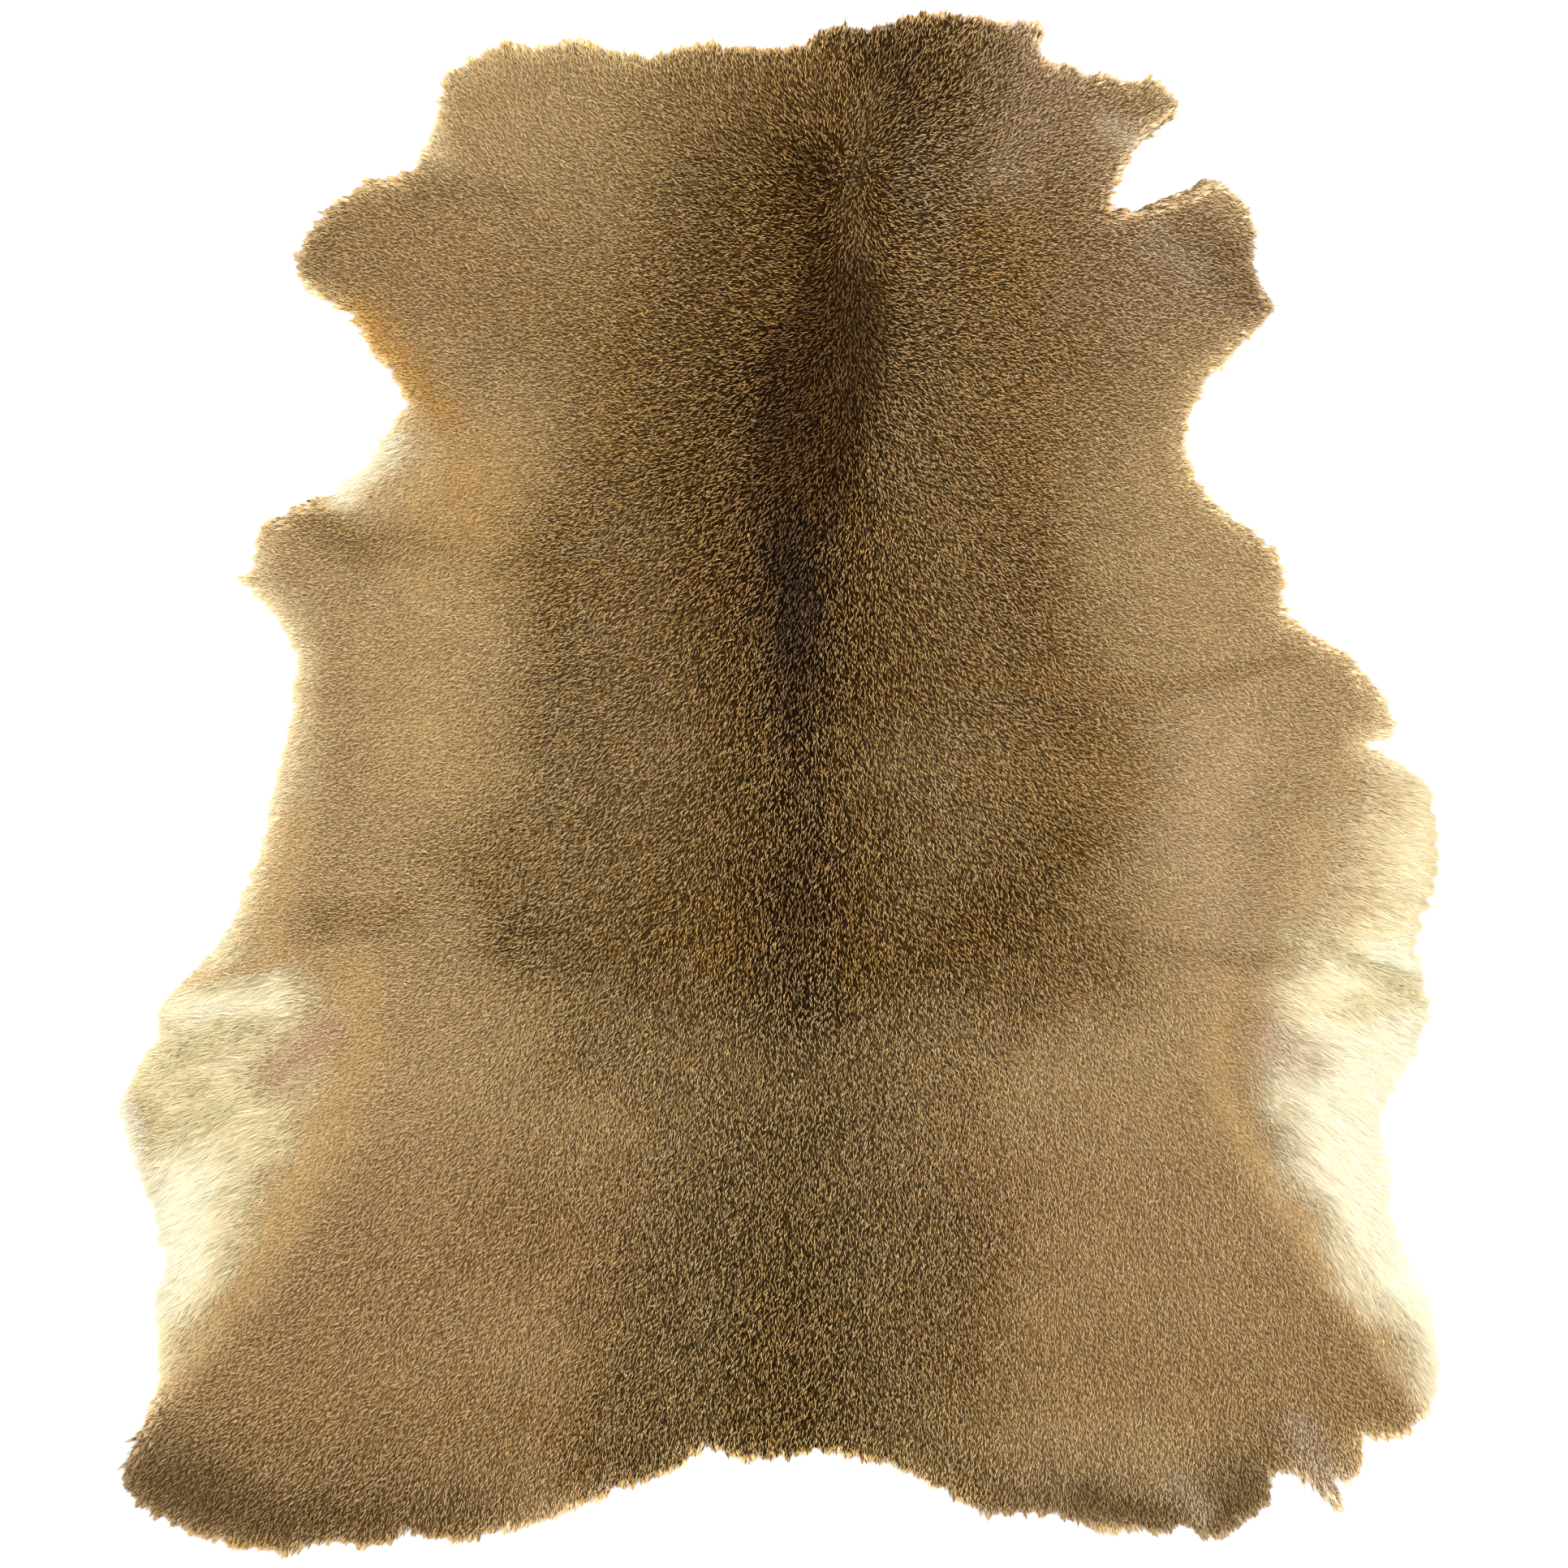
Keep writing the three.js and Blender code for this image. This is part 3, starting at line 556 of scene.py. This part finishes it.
# The hide's plan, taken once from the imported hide

class Plan:
    """The hide's underside as a sheet, its edge and the heights of the leather."""

    def __init__(self):
        self.sheet = bmesh.new()
        self.sheet.from_mesh(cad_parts[HIDE_NODE].data)
        bmesh.ops.remove_doubles(self.sheet, verts=self.sheet.verts[:], dist=1e-6)
        self.sheet.normal_update()
        others = [face for face in self.sheet.faces if face.normal.z > -0.5]
        bmesh.ops.delete(self.sheet, geom=others, context="FACES")
        rim = [edge for edge in self.sheet.edges if edge.is_boundary]
        segments = [[vert.co.xy.copy() for vert in edge.verts] for edge in rim]
        self.edge = edge_map(segments)
        self.rim = np.array([[tuple(end) for end in segment] for segment in segments])
        self.floor = self.heights()

    def heights(self, step=0.006):
        """A map of the underside's height above the floor."""
        tree = BVHTree.FromBMesh(self.sheet)
        made = PlanMap(step)
        xs, ys = made.axes()
        made.values = np.zeros((made.rows, made.columns))
        for row, y in enumerate(ys):
            for column, x in enumerate(xs):
                hit = tree.ray_cast(Vector((x, y, -1.0)), Vector((0, 0, 1)))[0]
                made.values[row, column] = hit.z if hit else 0.0
        return made


# Mesh helpers

def put_in_scene(name, mesh):
    """Makes the finished piece's object, which rides on the rug's one body."""
    piece = bpy.data.objects.new(name, mesh)
    bpy.context.scene.collection.objects.link(piece)
    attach(piece, "root")
    return piece


def rooted(plan, count, rng):
    """Even but unruly places all over the hide, and a rank by which some are picked evenly."""
    inside_area = (plan.edge.values > 0).sum() * plan.edge.step**2
    step = math.sqrt(inside_area / count * 2 / math.sqrt(3))
    xs = np.arange(HIDE_LOW.x, HIDE_HIGH.x, step)
    ys = np.arange(HIDE_LOW.y, HIDE_HIGH.y, step * math.sqrt(3) / 2)
    x, y = np.meshgrid(xs, ys)
    x[1::2] += step / 2
    row, column = np.indices(x.shape)
    corner = (column + row // 2) % 2 + 2 * (row % 2)  # 0 to 3 in turn, so that a rank is spread evenly
    rank = (corner + RANK_SCATTER * rng.random(x.shape)) / (3 + RANK_SCATTER)
    x = x + rng.uniform(-ROOT_SCATTER, ROOT_SCATTER, x.shape) * step
    y = y + rng.uniform(-ROOT_SCATTER, ROOT_SCATTER, y.shape) * step
    keep = plan.edge.at(x, y) > COAT_INSET
    return x[keep], y[keep], rank[keep]


def along_rim(plan, count, rng):
    """Places just inside the whole edge, picked from as many as asked for, and their rank."""
    starts, ends = plan.rim[:, 0], plan.rim[:, 1]
    lengths = np.linalg.norm(ends - starts, axis=1)
    picked = rng.choice(len(lengths), size=count, p=lengths / lengths.sum())
    place = starts[picked] + rng.random((count, 1)) * (ends - starts)[picked]
    x, y = (place + rng.uniform(-RIM_SPREAD, RIM_SPREAD, (count, 2))).T
    keep = plan.edge.at(x, y) > RIM_INSET
    return x[keep], y[keep], rng.random(keep.sum())


class Hairs:
    """Many hairs as arrays: where each is rooted, how it lies and its colours."""

    def __init__(self, plan, leather, roots, rng):
        self.x, self.y, self.rank = roots
        x, y = self.x, self.y
        self.z = plan.floor.at(x, y) + leather * ROOT_HEIGHT
        self.heading, self.order = flow_heading(x, y)
        self.colour, self.depth = coat_field(x, y)
        self.light = lightness(self.colour)
        self.pale = smooth((self.light - PALE_FROM) / 0.32)
        self.rng = rng
        self.plan = plan

    def comb(self, spread):
        """Turns each hair a little, together with its neighbours and by itself."""
        together = noise_map(TUFTED).at(self.x, self.y) + noise_map(TUFTED_WIDE).at(self.x, self.y)
        alone = self.rng.normal(0, 1, len(self.x))
        loose = spread * (1 - 0.45 * self.pale) + WHIRL * (1 - smooth(self.order / 0.8))
        self.heading = self.heading + np.radians(loose * (0.5 * together + 0.8 * alone))

    def pick_guards(self, share):
        """Picks the guard hairs: the longer ones on top, which have the light tips."""
        self.guard = self.rank < share * (1.2 - 0.4 * np.minimum(self.depth, 1)) + 0.6 * self.pale

    def shape(self, length, width, rise, settle):
        """Gives each hair its length, width and the angles at which it leaves and ends."""
        count = len(self.x)
        inner = smooth(self.plan.edge.at(self.x, self.y) / EDGE_SLOPE)
        top = np.where(self.guard, GUARD_SIZE, UNDER_SIZE)
        self.length = length * top * self.rng.uniform(0.8, 1.15, count)
        self.width = width * top * self.rng.uniform(0.8, 1.2, count)
        flat = 1 - PALE_FLATNESS * self.pale
        steep = rise * top * flat * self.rng.uniform(0.8, 1.2, count)
        self.rise = np.radians(steep) * (EDGE_RISE + (1 - EDGE_RISE) * inner)
        self.settle = np.radians(settle * flat + self.rng.normal(0, 4, count) * flat)
        self.roll = np.radians(self.rng.normal(0, 24, count) * flat)
        self.curl = np.radians(self.rng.normal(0, 9, count))

    def hold_inside(self, overhang):
        """Shortens hairs whose tips would stand past the ragged edge, which has teeth of this size."""
        teeth = noise_map(TOOTHED)
        for _ in range(4):
            reach = self.length * np.cos((self.rise + self.settle) / 2)
            tip_x = self.x + reach * np.cos(self.heading)
            tip_y = self.y + reach * np.sin(self.heading)
            allowed = overhang * (0.5 + teeth.at(tip_x, tip_y))
            past = np.maximum(0, -self.plan.edge.at(tip_x, tip_y) - allowed)
            self.length = np.maximum(self.length - past, SHORTEST_HAIR)

    def tone(self, lighter, darker, streak):
        """Sets the colours of tip and root: lighter on the guard hairs, darker on the others."""
        x, y = self.x, self.y
        under = self.rng.uniform(0.5, 1.1, len(x))
        lift = np.where(self.guard, 1 + lighter * self.depth, 1 - darker * self.depth * under)
        lift = lift * (1 + 0.19 * self.rng.normal(0, 1, len(x)) * (0.15 + self.depth))
        locks = streaks(x, y, flow_heading(x, y)[0])
        lift = lift * (1 + streak * locks * (0.25 + 0.75 * self.pale))
        gain = COAT_GAIN * (1 + DEPTH_GAIN * self.depth**2) * (1 - PALE_LOSS * self.pale)
        brightest = gain * self.colour.max(axis=1)
        self.lift = np.minimum(np.clip(lift, *LIFT_LIMITS), BRIGHTEST / brightest)
        held = np.minimum(self.depth, 1)
        richness = np.where(self.guard, GUARD_RICHNESS, UNDER_RICHNESS) * (0.82 + 0.24 * held)
        hue = (self.colour / self.light[:, None]) ** richness[:, None] * WARMTH
        self.tip = np.minimum((gain * self.lift * self.light)[:, None] * hue, BRIGHTEST)
        self.root = np.minimum(self.tip, self.colour) * (1 - 0.90 * held)[:, None]

    def kept(self, chosen):
        """The same hairs, but only the chosen ones."""
        made = object.__new__(Hairs)
        for name, value in self.__dict__.items():
            setattr(made, name, value[chosen] if isinstance(value, np.ndarray) else value)
        return made


def hair_points(hairs, pairs):
    """The points of all hairs, root first and tip last, and how far along its hair each one is."""
    count = len(hairs.x)
    parts = max(pairs, 1) + 1
    place = np.stack((hairs.x, hairs.y, hairs.z), axis=1)
    spots = [place]
    along = [np.zeros(count)]
    for part in range(parts):
        share = (part + 0.5) / parts
        height = hairs.rise * (1 - share) + hairs.settle * share
        turn = hairs.heading + hairs.curl * share
        step = np.stack((np.cos(height) * np.cos(turn), np.cos(height) * np.sin(turn), np.sin(height)), 1)
        place = place + step * (hairs.length / parts)[:, None]
        if part < parts - 1:
            level = np.stack((-np.sin(turn), np.cos(turn), np.zeros(count)), axis=1)
            upright = np.cross(step, level)
            side = level * np.cos(hairs.roll)[:, None] + upright * np.sin(hairs.roll)[:, None]
            half = (hairs.width / 2 * math.sin(math.pi * (0.25 + 0.5 * (part + 1) / parts)))[:, None]
            beside = [place + side * half, place - side * half] if pairs else [place + side * half]
            spots += beside
            along += [np.full(count, (part + 1) / parts)] * len(beside)
        else:
            spots.append(place)
            along.append(np.ones(count))
    for spot in spots:
        spot[:, 2] = np.maximum(spot[:, 2], LOWEST_HAIR)
    return np.stack(spots, axis=1), np.stack(along, axis=1)


def hair_faces(per_hair, pairs):
    """The triangles of one hair, from its root up."""
    faces = [(0, 2, 1)]
    for pair in range(pairs - 1):
        left = 1 + 2 * pair
        faces += [(left, left + 1, left + 3), (left, left + 3, left + 2)]
    if pairs:
        faces.append((per_hair - 3, per_hair - 2, per_hair - 1))
    return np.array(faces)


def hair_blades(name, hairs, pairs):
    """Joins all hairs in one mesh. Each is a blade: a root point, pairs of side points and a tip.
    With no pair it is a sliver, which has one side point halfway."""
    spots, along = hair_points(hairs, pairs)
    count, per_hair, _ = spots.shape
    points = spots.reshape(-1, 3)
    corners = (np.arange(count)[:, None, None] * per_hair + hair_faces(per_hair, pairs)[None]).ravel()
    mesh = bpy.data.meshes.new(name)
    mesh.vertices.add(len(points))
    mesh.vertices.foreach_set("co", points.ravel())
    mesh.loops.add(len(corners))
    mesh.loops.foreach_set("vertex_index", corners)
    mesh.polygons.add(len(corners) // 3)
    mesh.polygons.foreach_set("loop_start", np.arange(0, len(corners), 3))
    mesh.update(calc_edges=True)
    add_values(mesh, "along_hair", "FLOAT", along.ravel())
    for label, colour in (("tip_colour", hairs.tip), ("root_colour", hairs.root)):
        opaque = np.concatenate((colour, np.ones((count, 1))), axis=1)
        add_values(mesh, label, "FLOAT_COLOR", np.repeat(opaque, per_hair, axis=0).ravel())
    add_bake_map(mesh, hairs, along, corners)
    return mesh


def add_values(mesh, name, kind, values):
    """Stores one value for each point of the mesh."""
    layer = mesh.attributes.new(name, kind, "POINT")
    layer.data.foreach_set("color" if kind == "FLOAT_COLOR" else "value", values.astype(np.float32))


BAKE_CELLS = 56  # cells of the bake map each way
BAKE_RIM = 0.10  # share of a cell that is kept clear on each side


def add_bake_map(mesh, hairs, along, corners):
    """Lays each hair out in its place's cell: across by its tone and up by the way along it."""
    span_x = hairs.x.max() - hairs.x.min()
    span_y = hairs.y.max() - hairs.y.min()
    column = np.minimum((hairs.x - hairs.x.min()) / span_x * BAKE_CELLS, BAKE_CELLS - 1).astype(int)
    row = np.minimum((hairs.y - hairs.y.min()) / span_y * BAKE_CELLS, BAKE_CELLS - 1).astype(int)
    shade = (hairs.lift - hairs.lift.min()) / (hairs.lift.max() - hairs.lift.min())
    sides = np.zeros(along.shape[1])
    sides[1:-1:2] = -0.5
    sides[2:-1:2] = 0.5
    inner = 1 - 2 * BAKE_RIM
    u = column[:, None] + BAKE_RIM + inner * (0.06 + 0.88 * shade[:, None] + 0.10 * sides[None, :])
    v = row[:, None] + BAKE_RIM + inner * along
    flat = np.stack((u, v), axis=2).reshape(-1, 2) / BAKE_CELLS
    layer = mesh.uv_layers.new(name="OFBake")
    layer.data.foreach_set("uv", flat[corners].astype(np.float32).ravel())


# Materials

def new_material(name, roughness, specular=0.5):
    """A material with a plain shader, and the means to wire it."""
    material = bpy.data.materials.new(name)
    material.use_nodes = True
    tree = material.node_tree
    shader = tree.nodes["Principled BSDF"]
    shader.inputs["Roughness"].default_value = roughness
    shader.inputs["Specular IOR Level"].default_value = specular
    return material, tree.nodes, tree.links, shader


def node(nodes, kind, **inputs):
    """A node with the given values on its inputs."""
    made = nodes.new(kind)
    for name, value in inputs.items():
        made.inputs[name].default_value = value
    return made


def attribute(nodes, name):
    """A node that reads one of the values stored on the mesh."""
    made = nodes.new("ShaderNodeAttribute")
    made.attribute_name = name
    return made


def hair_material():
    """Deer hair: dark roots, a light band towards the tip, a faint gloss."""
    material, nodes, links, shader = new_material("deer_hair", roughness=0.6, specular=0.10)
    tip = attribute(nodes, "tip_colour")
    root = attribute(nodes, "root_colour")
    along = attribute(nodes, "along_hair")
    band = nodes.new("ShaderNodeValToRGB")
    band.color_ramp.elements[0].position = 0.42
    band.color_ramp.elements[1].position = 0.62
    mix = nodes.new("ShaderNodeMix")
    mix.data_type = "RGBA"
    links.new(along.outputs["Fac"], band.inputs["Fac"])
    links.new(band.outputs["Color"], mix.inputs["Factor"])
    links.new(root.outputs["Color"], mix.inputs["A"])
    links.new(tip.outputs["Color"], mix.inputs["B"])
    links.new(mix.outputs["Result"], shader.inputs["Base Color"])
    return material


def skin_top_material():
    """The skin between the hair roots, in the coat's darkest tones."""
    material, nodes, links, shader = new_material("skin_under_hair", roughness=0.9, specular=0.1)
    shade = attribute(nodes, "root_colour")
    place = nodes.new("ShaderNodeTexCoord")
    grain = node(nodes, "ShaderNodeTexNoise", Scale=420.0, Detail=3.0)
    bump = node(nodes, "ShaderNodeBump", Strength=0.6, Distance=0.0006)
    links.new(place.outputs["Object"], grain.inputs["Vector"])
    links.new(grain.outputs["Fac"], bump.inputs["Height"])
    links.new(bump.outputs["Normal"], shader.inputs["Normal"])
    links.new(shade.outputs["Color"], shader.inputs["Base Color"])
    return material


def suede_material(settings):
    """The bare underside: napped suede with cloudy tone and fine creases."""
    material, nodes, links, shader = new_material("suede_back", roughness=0.92, specular=0.15)
    shader.inputs["Sheen Weight"].default_value = 0.25
    base = linear_colour(tuple(settings.suede))
    place = nodes.new("ShaderNodeTexCoord")
    cloud = node(nodes, "ShaderNodeTexNoise", Scale=9.0, Detail=5.0, Roughness=0.6)
    tone = nodes.new("ShaderNodeValToRGB")
    tone.color_ramp.elements[0].position = 0.32
    tone.color_ramp.elements[0].color = (*(base * np.array((0.66, 0.60, 0.52))), 1)
    tone.color_ramp.elements[1].position = 0.72
    tone.color_ramp.elements[1].color = (*base, 1)
    nap = node(nodes, "ShaderNodeTexNoise", Scale=900.0, Detail=4.0, Roughness=0.7)
    crease = node(nodes, "ShaderNodeTexVoronoi", Scale=55.0)
    crease.feature = "DISTANCE_TO_EDGE"
    rough = node(nodes, "ShaderNodeBump", Strength=0.5, Distance=0.0004)
    lines = node(nodes, "ShaderNodeBump", Strength=0.25, Distance=0.0008)
    for texture in (cloud, nap, crease):
        links.new(place.outputs["Object"], texture.inputs["Vector"])
    links.new(cloud.outputs["Fac"], tone.inputs["Fac"])
    links.new(tone.outputs["Color"], shader.inputs["Base Color"])
    links.new(nap.outputs["Fac"], rough.inputs["Height"])
    links.new(crease.outputs["Distance"], lines.inputs["Height"])
    links.new(lines.outputs["Normal"], rough.inputs["Normal"])
    links.new(rough.outputs["Normal"], shader.inputs["Normal"])
    return material


# Operators

shared = {}  # the plan and the hair material, which the pieces share


def hide_plan():
    """The plan, made when it is first asked for."""
    if "plan" not in shared:
        shared["plan"] = Plan()
    return shared["plan"]


def grow(name, hairs, pairs):
    """Makes a piece of the given hairs, all in the one hair material."""
    if "hair" not in shared:
        shared["hair"] = hair_material()
    mesh = hair_blades(name, hairs, pairs)
    mesh.materials.append(shared["hair"])
    put_in_scene(name, mesh)


class DEERHIDE_OT_skin(bpy.types.Operator):
    """Make the tanned skin that the coat grows out of"""

    bl_idname = "deerhide.skin"
    bl_label = "Skin"

    def execute(self, context):
        settings = context.scene.deer_hide
        work = hide_plan().sheet.copy()
        rim = bmesh.ops.inset_region(
            work, faces=work.faces[:], thickness=settings.trim, use_boundary=True
        )
        bmesh.ops.delete(work, geom=rim["faces"], context="FACES")
        bmesh.ops.triangulate(work, faces=work.faces[:])
        bmesh.ops.subdivide_edges(work, edges=work.edges[:], cuts=1, use_grid_fill=True)
        lifted = bmesh.ops.extrude_face_region(work, geom=work.faces[:], use_keep_orig=True)
        top = [part for part in lifted["geom"] if isinstance(part, bmesh.types.BMVert)]
        bmesh.ops.translate(work, verts=top, vec=(0, 0, settings.leather))
        bmesh.ops.recalc_face_normals(work, faces=work.faces[:])
        for face in work.faces:
            face.material_index = 1 if face.normal.z > 0.5 else 0
            face.smooth = True
        mesh = bpy.data.meshes.new("deerhide_skin")
        work.to_mesh(mesh)
        work.free()
        places = np.empty(len(mesh.vertices) * 3, dtype=np.float32)
        mesh.vertices.foreach_get("co", places)
        x, y = places.reshape(-1, 3).astype(float)[:, :2].T
        colour, depth = coat_field(x, y)
        roots = colour * (1 - 0.8 * np.minimum(depth, 1))[:, None]
        opaque = np.concatenate((roots, np.ones((len(x), 1))), axis=1)
        add_values(mesh, "root_colour", "FLOAT_COLOR", opaque.ravel())
        mesh.materials.append(suede_material(settings))
        mesh.materials.append(skin_top_material())
        skin = put_in_scene("deerhide_skin", mesh)
        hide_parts(HIDE_NODE)
        shared["skin"] = skin
        return {"FINISHED"}


class DEERHIDE_OT_coat(bpy.types.Operator):
    """Grow the short coat, in five bands from the neck to the rump"""

    bl_idname = "deerhide.coat"
    bl_label = "Short coat"

    def execute(self, context):
        settings = context.scene.deer_hide
        rng = np.random.default_rng(settings.seed)
        plan = hide_plan()
        hairs = Hairs(plan, settings.leather, rooted(plan, settings.hairs, rng), rng)
        hairs.comb(spread=23)
        longer = 1 + 1.2 * hairs.pale
        finer = 1 - 0.3 * hairs.pale
        hairs.pick_guards(share=0.32)
        hairs.shape(settings.hair_length * longer, settings.hair_width * finer, rise=50, settle=18)
        hairs.hold_inside(overhang=0.0025 + 0.002 * hairs.pale)
        hairs.tone(lighter=1.75, darker=0.80, streak=0.17)
        places = ("neck", "shoulders", "ribs", "loin", "rump")
        bands = np.array_split(np.argsort(-hairs.y), len(places))
        for place, chosen in zip(places, bands):
            grow(f"deerhide_coat_{place}", hairs.kept(chosen), pairs=0)
        return {"FINISHED"}


class DEERHIDE_OT_strands(bpy.types.Operator):
    """Grow the long silky strands of the belly and the armpits"""

    bl_idname = "deerhide.strands"
    bl_label = "Silky strands"

    def execute(self, context):
        settings = context.scene.deer_hide
        rng = np.random.default_rng(settings.seed + 1)
        plan = hide_plan()
        x, y, rank = rooted(plan, settings.hairs // 2, rng)
        colour, _ = coat_field(x, y)
        paleness = smooth((lightness(colour) - PALE_FROM) / 0.3)
        order = np.argsort(-paleness * rng.random(len(x)))[: settings.strands]
        chosen = order[paleness[order] > 0]
        hairs = Hairs(plan, settings.leather, (x[chosen], y[chosen], rank[chosen]), rng)
        hairs.comb(spread=9)
        hairs.pick_guards(share=0.5)
        long = 0.008 + 0.018 * hairs.pale
        hairs.shape(length=long, width=0.0005, rise=12 + 28 * hairs.pale, settle=4)
        hairs.hold_inside(overhang=0.006)
        hairs.tone(lighter=0.7, darker=0.6, streak=0.15)
        grow("deerhide_silky_strands", hairs, pairs=0)
        return {"FINISHED"}


class DEERHIDE_OT_rim(bpy.types.Operator):
    """Grow the hairs that stand out over the trimmed edge"""

    bl_idname = "deerhide.rim"
    bl_label = "Rim hairs"

    def execute(self, context):
        settings = context.scene.deer_hide
        rng = np.random.default_rng(settings.seed + 2)
        plan = hide_plan()
        hairs = Hairs(plan, settings.leather, along_rim(plan, settings.rim_hairs, rng), rng)
        hairs.comb(spread=12)
        hairs.pick_guards(share=0.4)
        hairs.shape(length=0.013, width=0.0020, rise=18, settle=2)
        hairs.hold_inside(overhang=0.0045)
        hairs.tone(lighter=0.8, darker=0.6, streak=0.2)
        grow("deerhide_rim_hairs", hairs, pairs=2)
        return {"FINISHED"}


class DEERHIDE_OT_studio(bpy.types.Operator):
    """Set the floor, the soft light and the camera above the hide"""

    bl_idname = "deerhide.studio"
    bl_label = "Studio"

    def execute(self, context):
        settings = context.scene.deer_studio
        work = bmesh.new()
        bmesh.ops.create_grid(work, x_segments=1, y_segments=1, size=6.0)
        floor_mesh = bpy.data.meshes.new("studio_floor")
        work.to_mesh(floor_mesh)
        work.free()
        floor = bpy.data.objects.new("studio_floor", floor_mesh)
        context.scene.collection.objects.link(floor)
        material, _, _, shader = new_material("studio_floor", roughness=0.9)
        shader.inputs["Base Color"].default_value = (*linear_colour(tuple(settings.floor_colour)), 1)
        floor_mesh.materials.append(material)
        for lamp in LAMPS:
            soft = bpy.data.lights.new(lamp.name, "AREA")
            soft.shape = "SQUARE"
            soft.size = LAMP_SIZE
            soft.energy = settings.light_power * lamp.share
            place = Vector((lamp.across * LAMP_REACH, lamp.down * LAMP_REACH, LAMP_HEIGHT))
            body = bpy.data.objects.new(lamp.name, soft)
            body.location = place
            body.rotation_euler = (-place).to_track_quat("-Z", "Y").to_euler()
            context.scene.collection.objects.link(body)
        world = bpy.data.worlds.new("studio_sky")
        world.use_nodes = True
        sky = world.node_tree.nodes["Background"]
        sky.inputs["Color"].default_value = (1, 1, 1, 1)
        sky.inputs["Strength"].default_value = settings.sky_strength
        context.scene.world = world
        lens = bpy.data.cameras.new("camera")
        lens.sensor_fit = "HORIZONTAL"
        reach = settings.camera_height - HIDE_HIGH.z / 2
        lens.lens = lens.sensor_width * reach / settings.framed_width
        camera = bpy.data.objects.new("camera", lens)
        camera.location = (PHOTO_OFFSET_X, PHOTO_OFFSET_Y, settings.camera_height)
        context.scene.collection.objects.link(camera)
        context.scene.camera = camera
        context.scene.view_settings.view_transform = "Standard"
        context.scene.view_settings.look = "None"
        return {"FINISHED"}


class DEERHIDE_PT_panel(bpy.types.Panel):
    """The hide's settings and the pieces in their order"""

    bl_idname = "DEERHIDE_PT_panel"
    bl_label = "Deerhide"
    bl_space_type = "VIEW_3D"
    bl_region_type = "UI"
    bl_category = "Deerhide"

    def draw(self, context):
        for settings in (context.scene.deer_hide, context.scene.deer_studio):
            box = self.layout.box()
            for name in settings.__annotations__:
                box.prop(settings, name)
        for step in STEPS:
            self.layout.operator(step.bl_idname)


STEPS = (
    DEERHIDE_OT_skin,
    DEERHIDE_OT_coat,
    DEERHIDE_OT_strands,
    DEERHIDE_OT_rim,
    DEERHIDE_OT_studio,
)
CLASSES = (HideSettings, StudioSettings, *STEPS, DEERHIDE_PT_panel)


def register():
    for each in CLASSES:
        bpy.utils.register_class(each)
    bpy.types.Scene.deer_hide = PointerProperty(type=HideSettings)
    bpy.types.Scene.deer_studio = PointerProperty(type=StudioSettings)


def unregister():
    del bpy.types.Scene.deer_studio
    del bpy.types.Scene.deer_hide
    for each in reversed(CLASSES):
        bpy.utils.unregister_class(each)


def main():
    register()
    bpy.ops.deerhide.skin()
    bpy.ops.deerhide.coat()
    bpy.ops.deerhide.strands()
    bpy.ops.deerhide.rim()
    bpy.ops.deerhide.studio()
    plan = hide_plan()


if __name__ == "__main__":
    main()
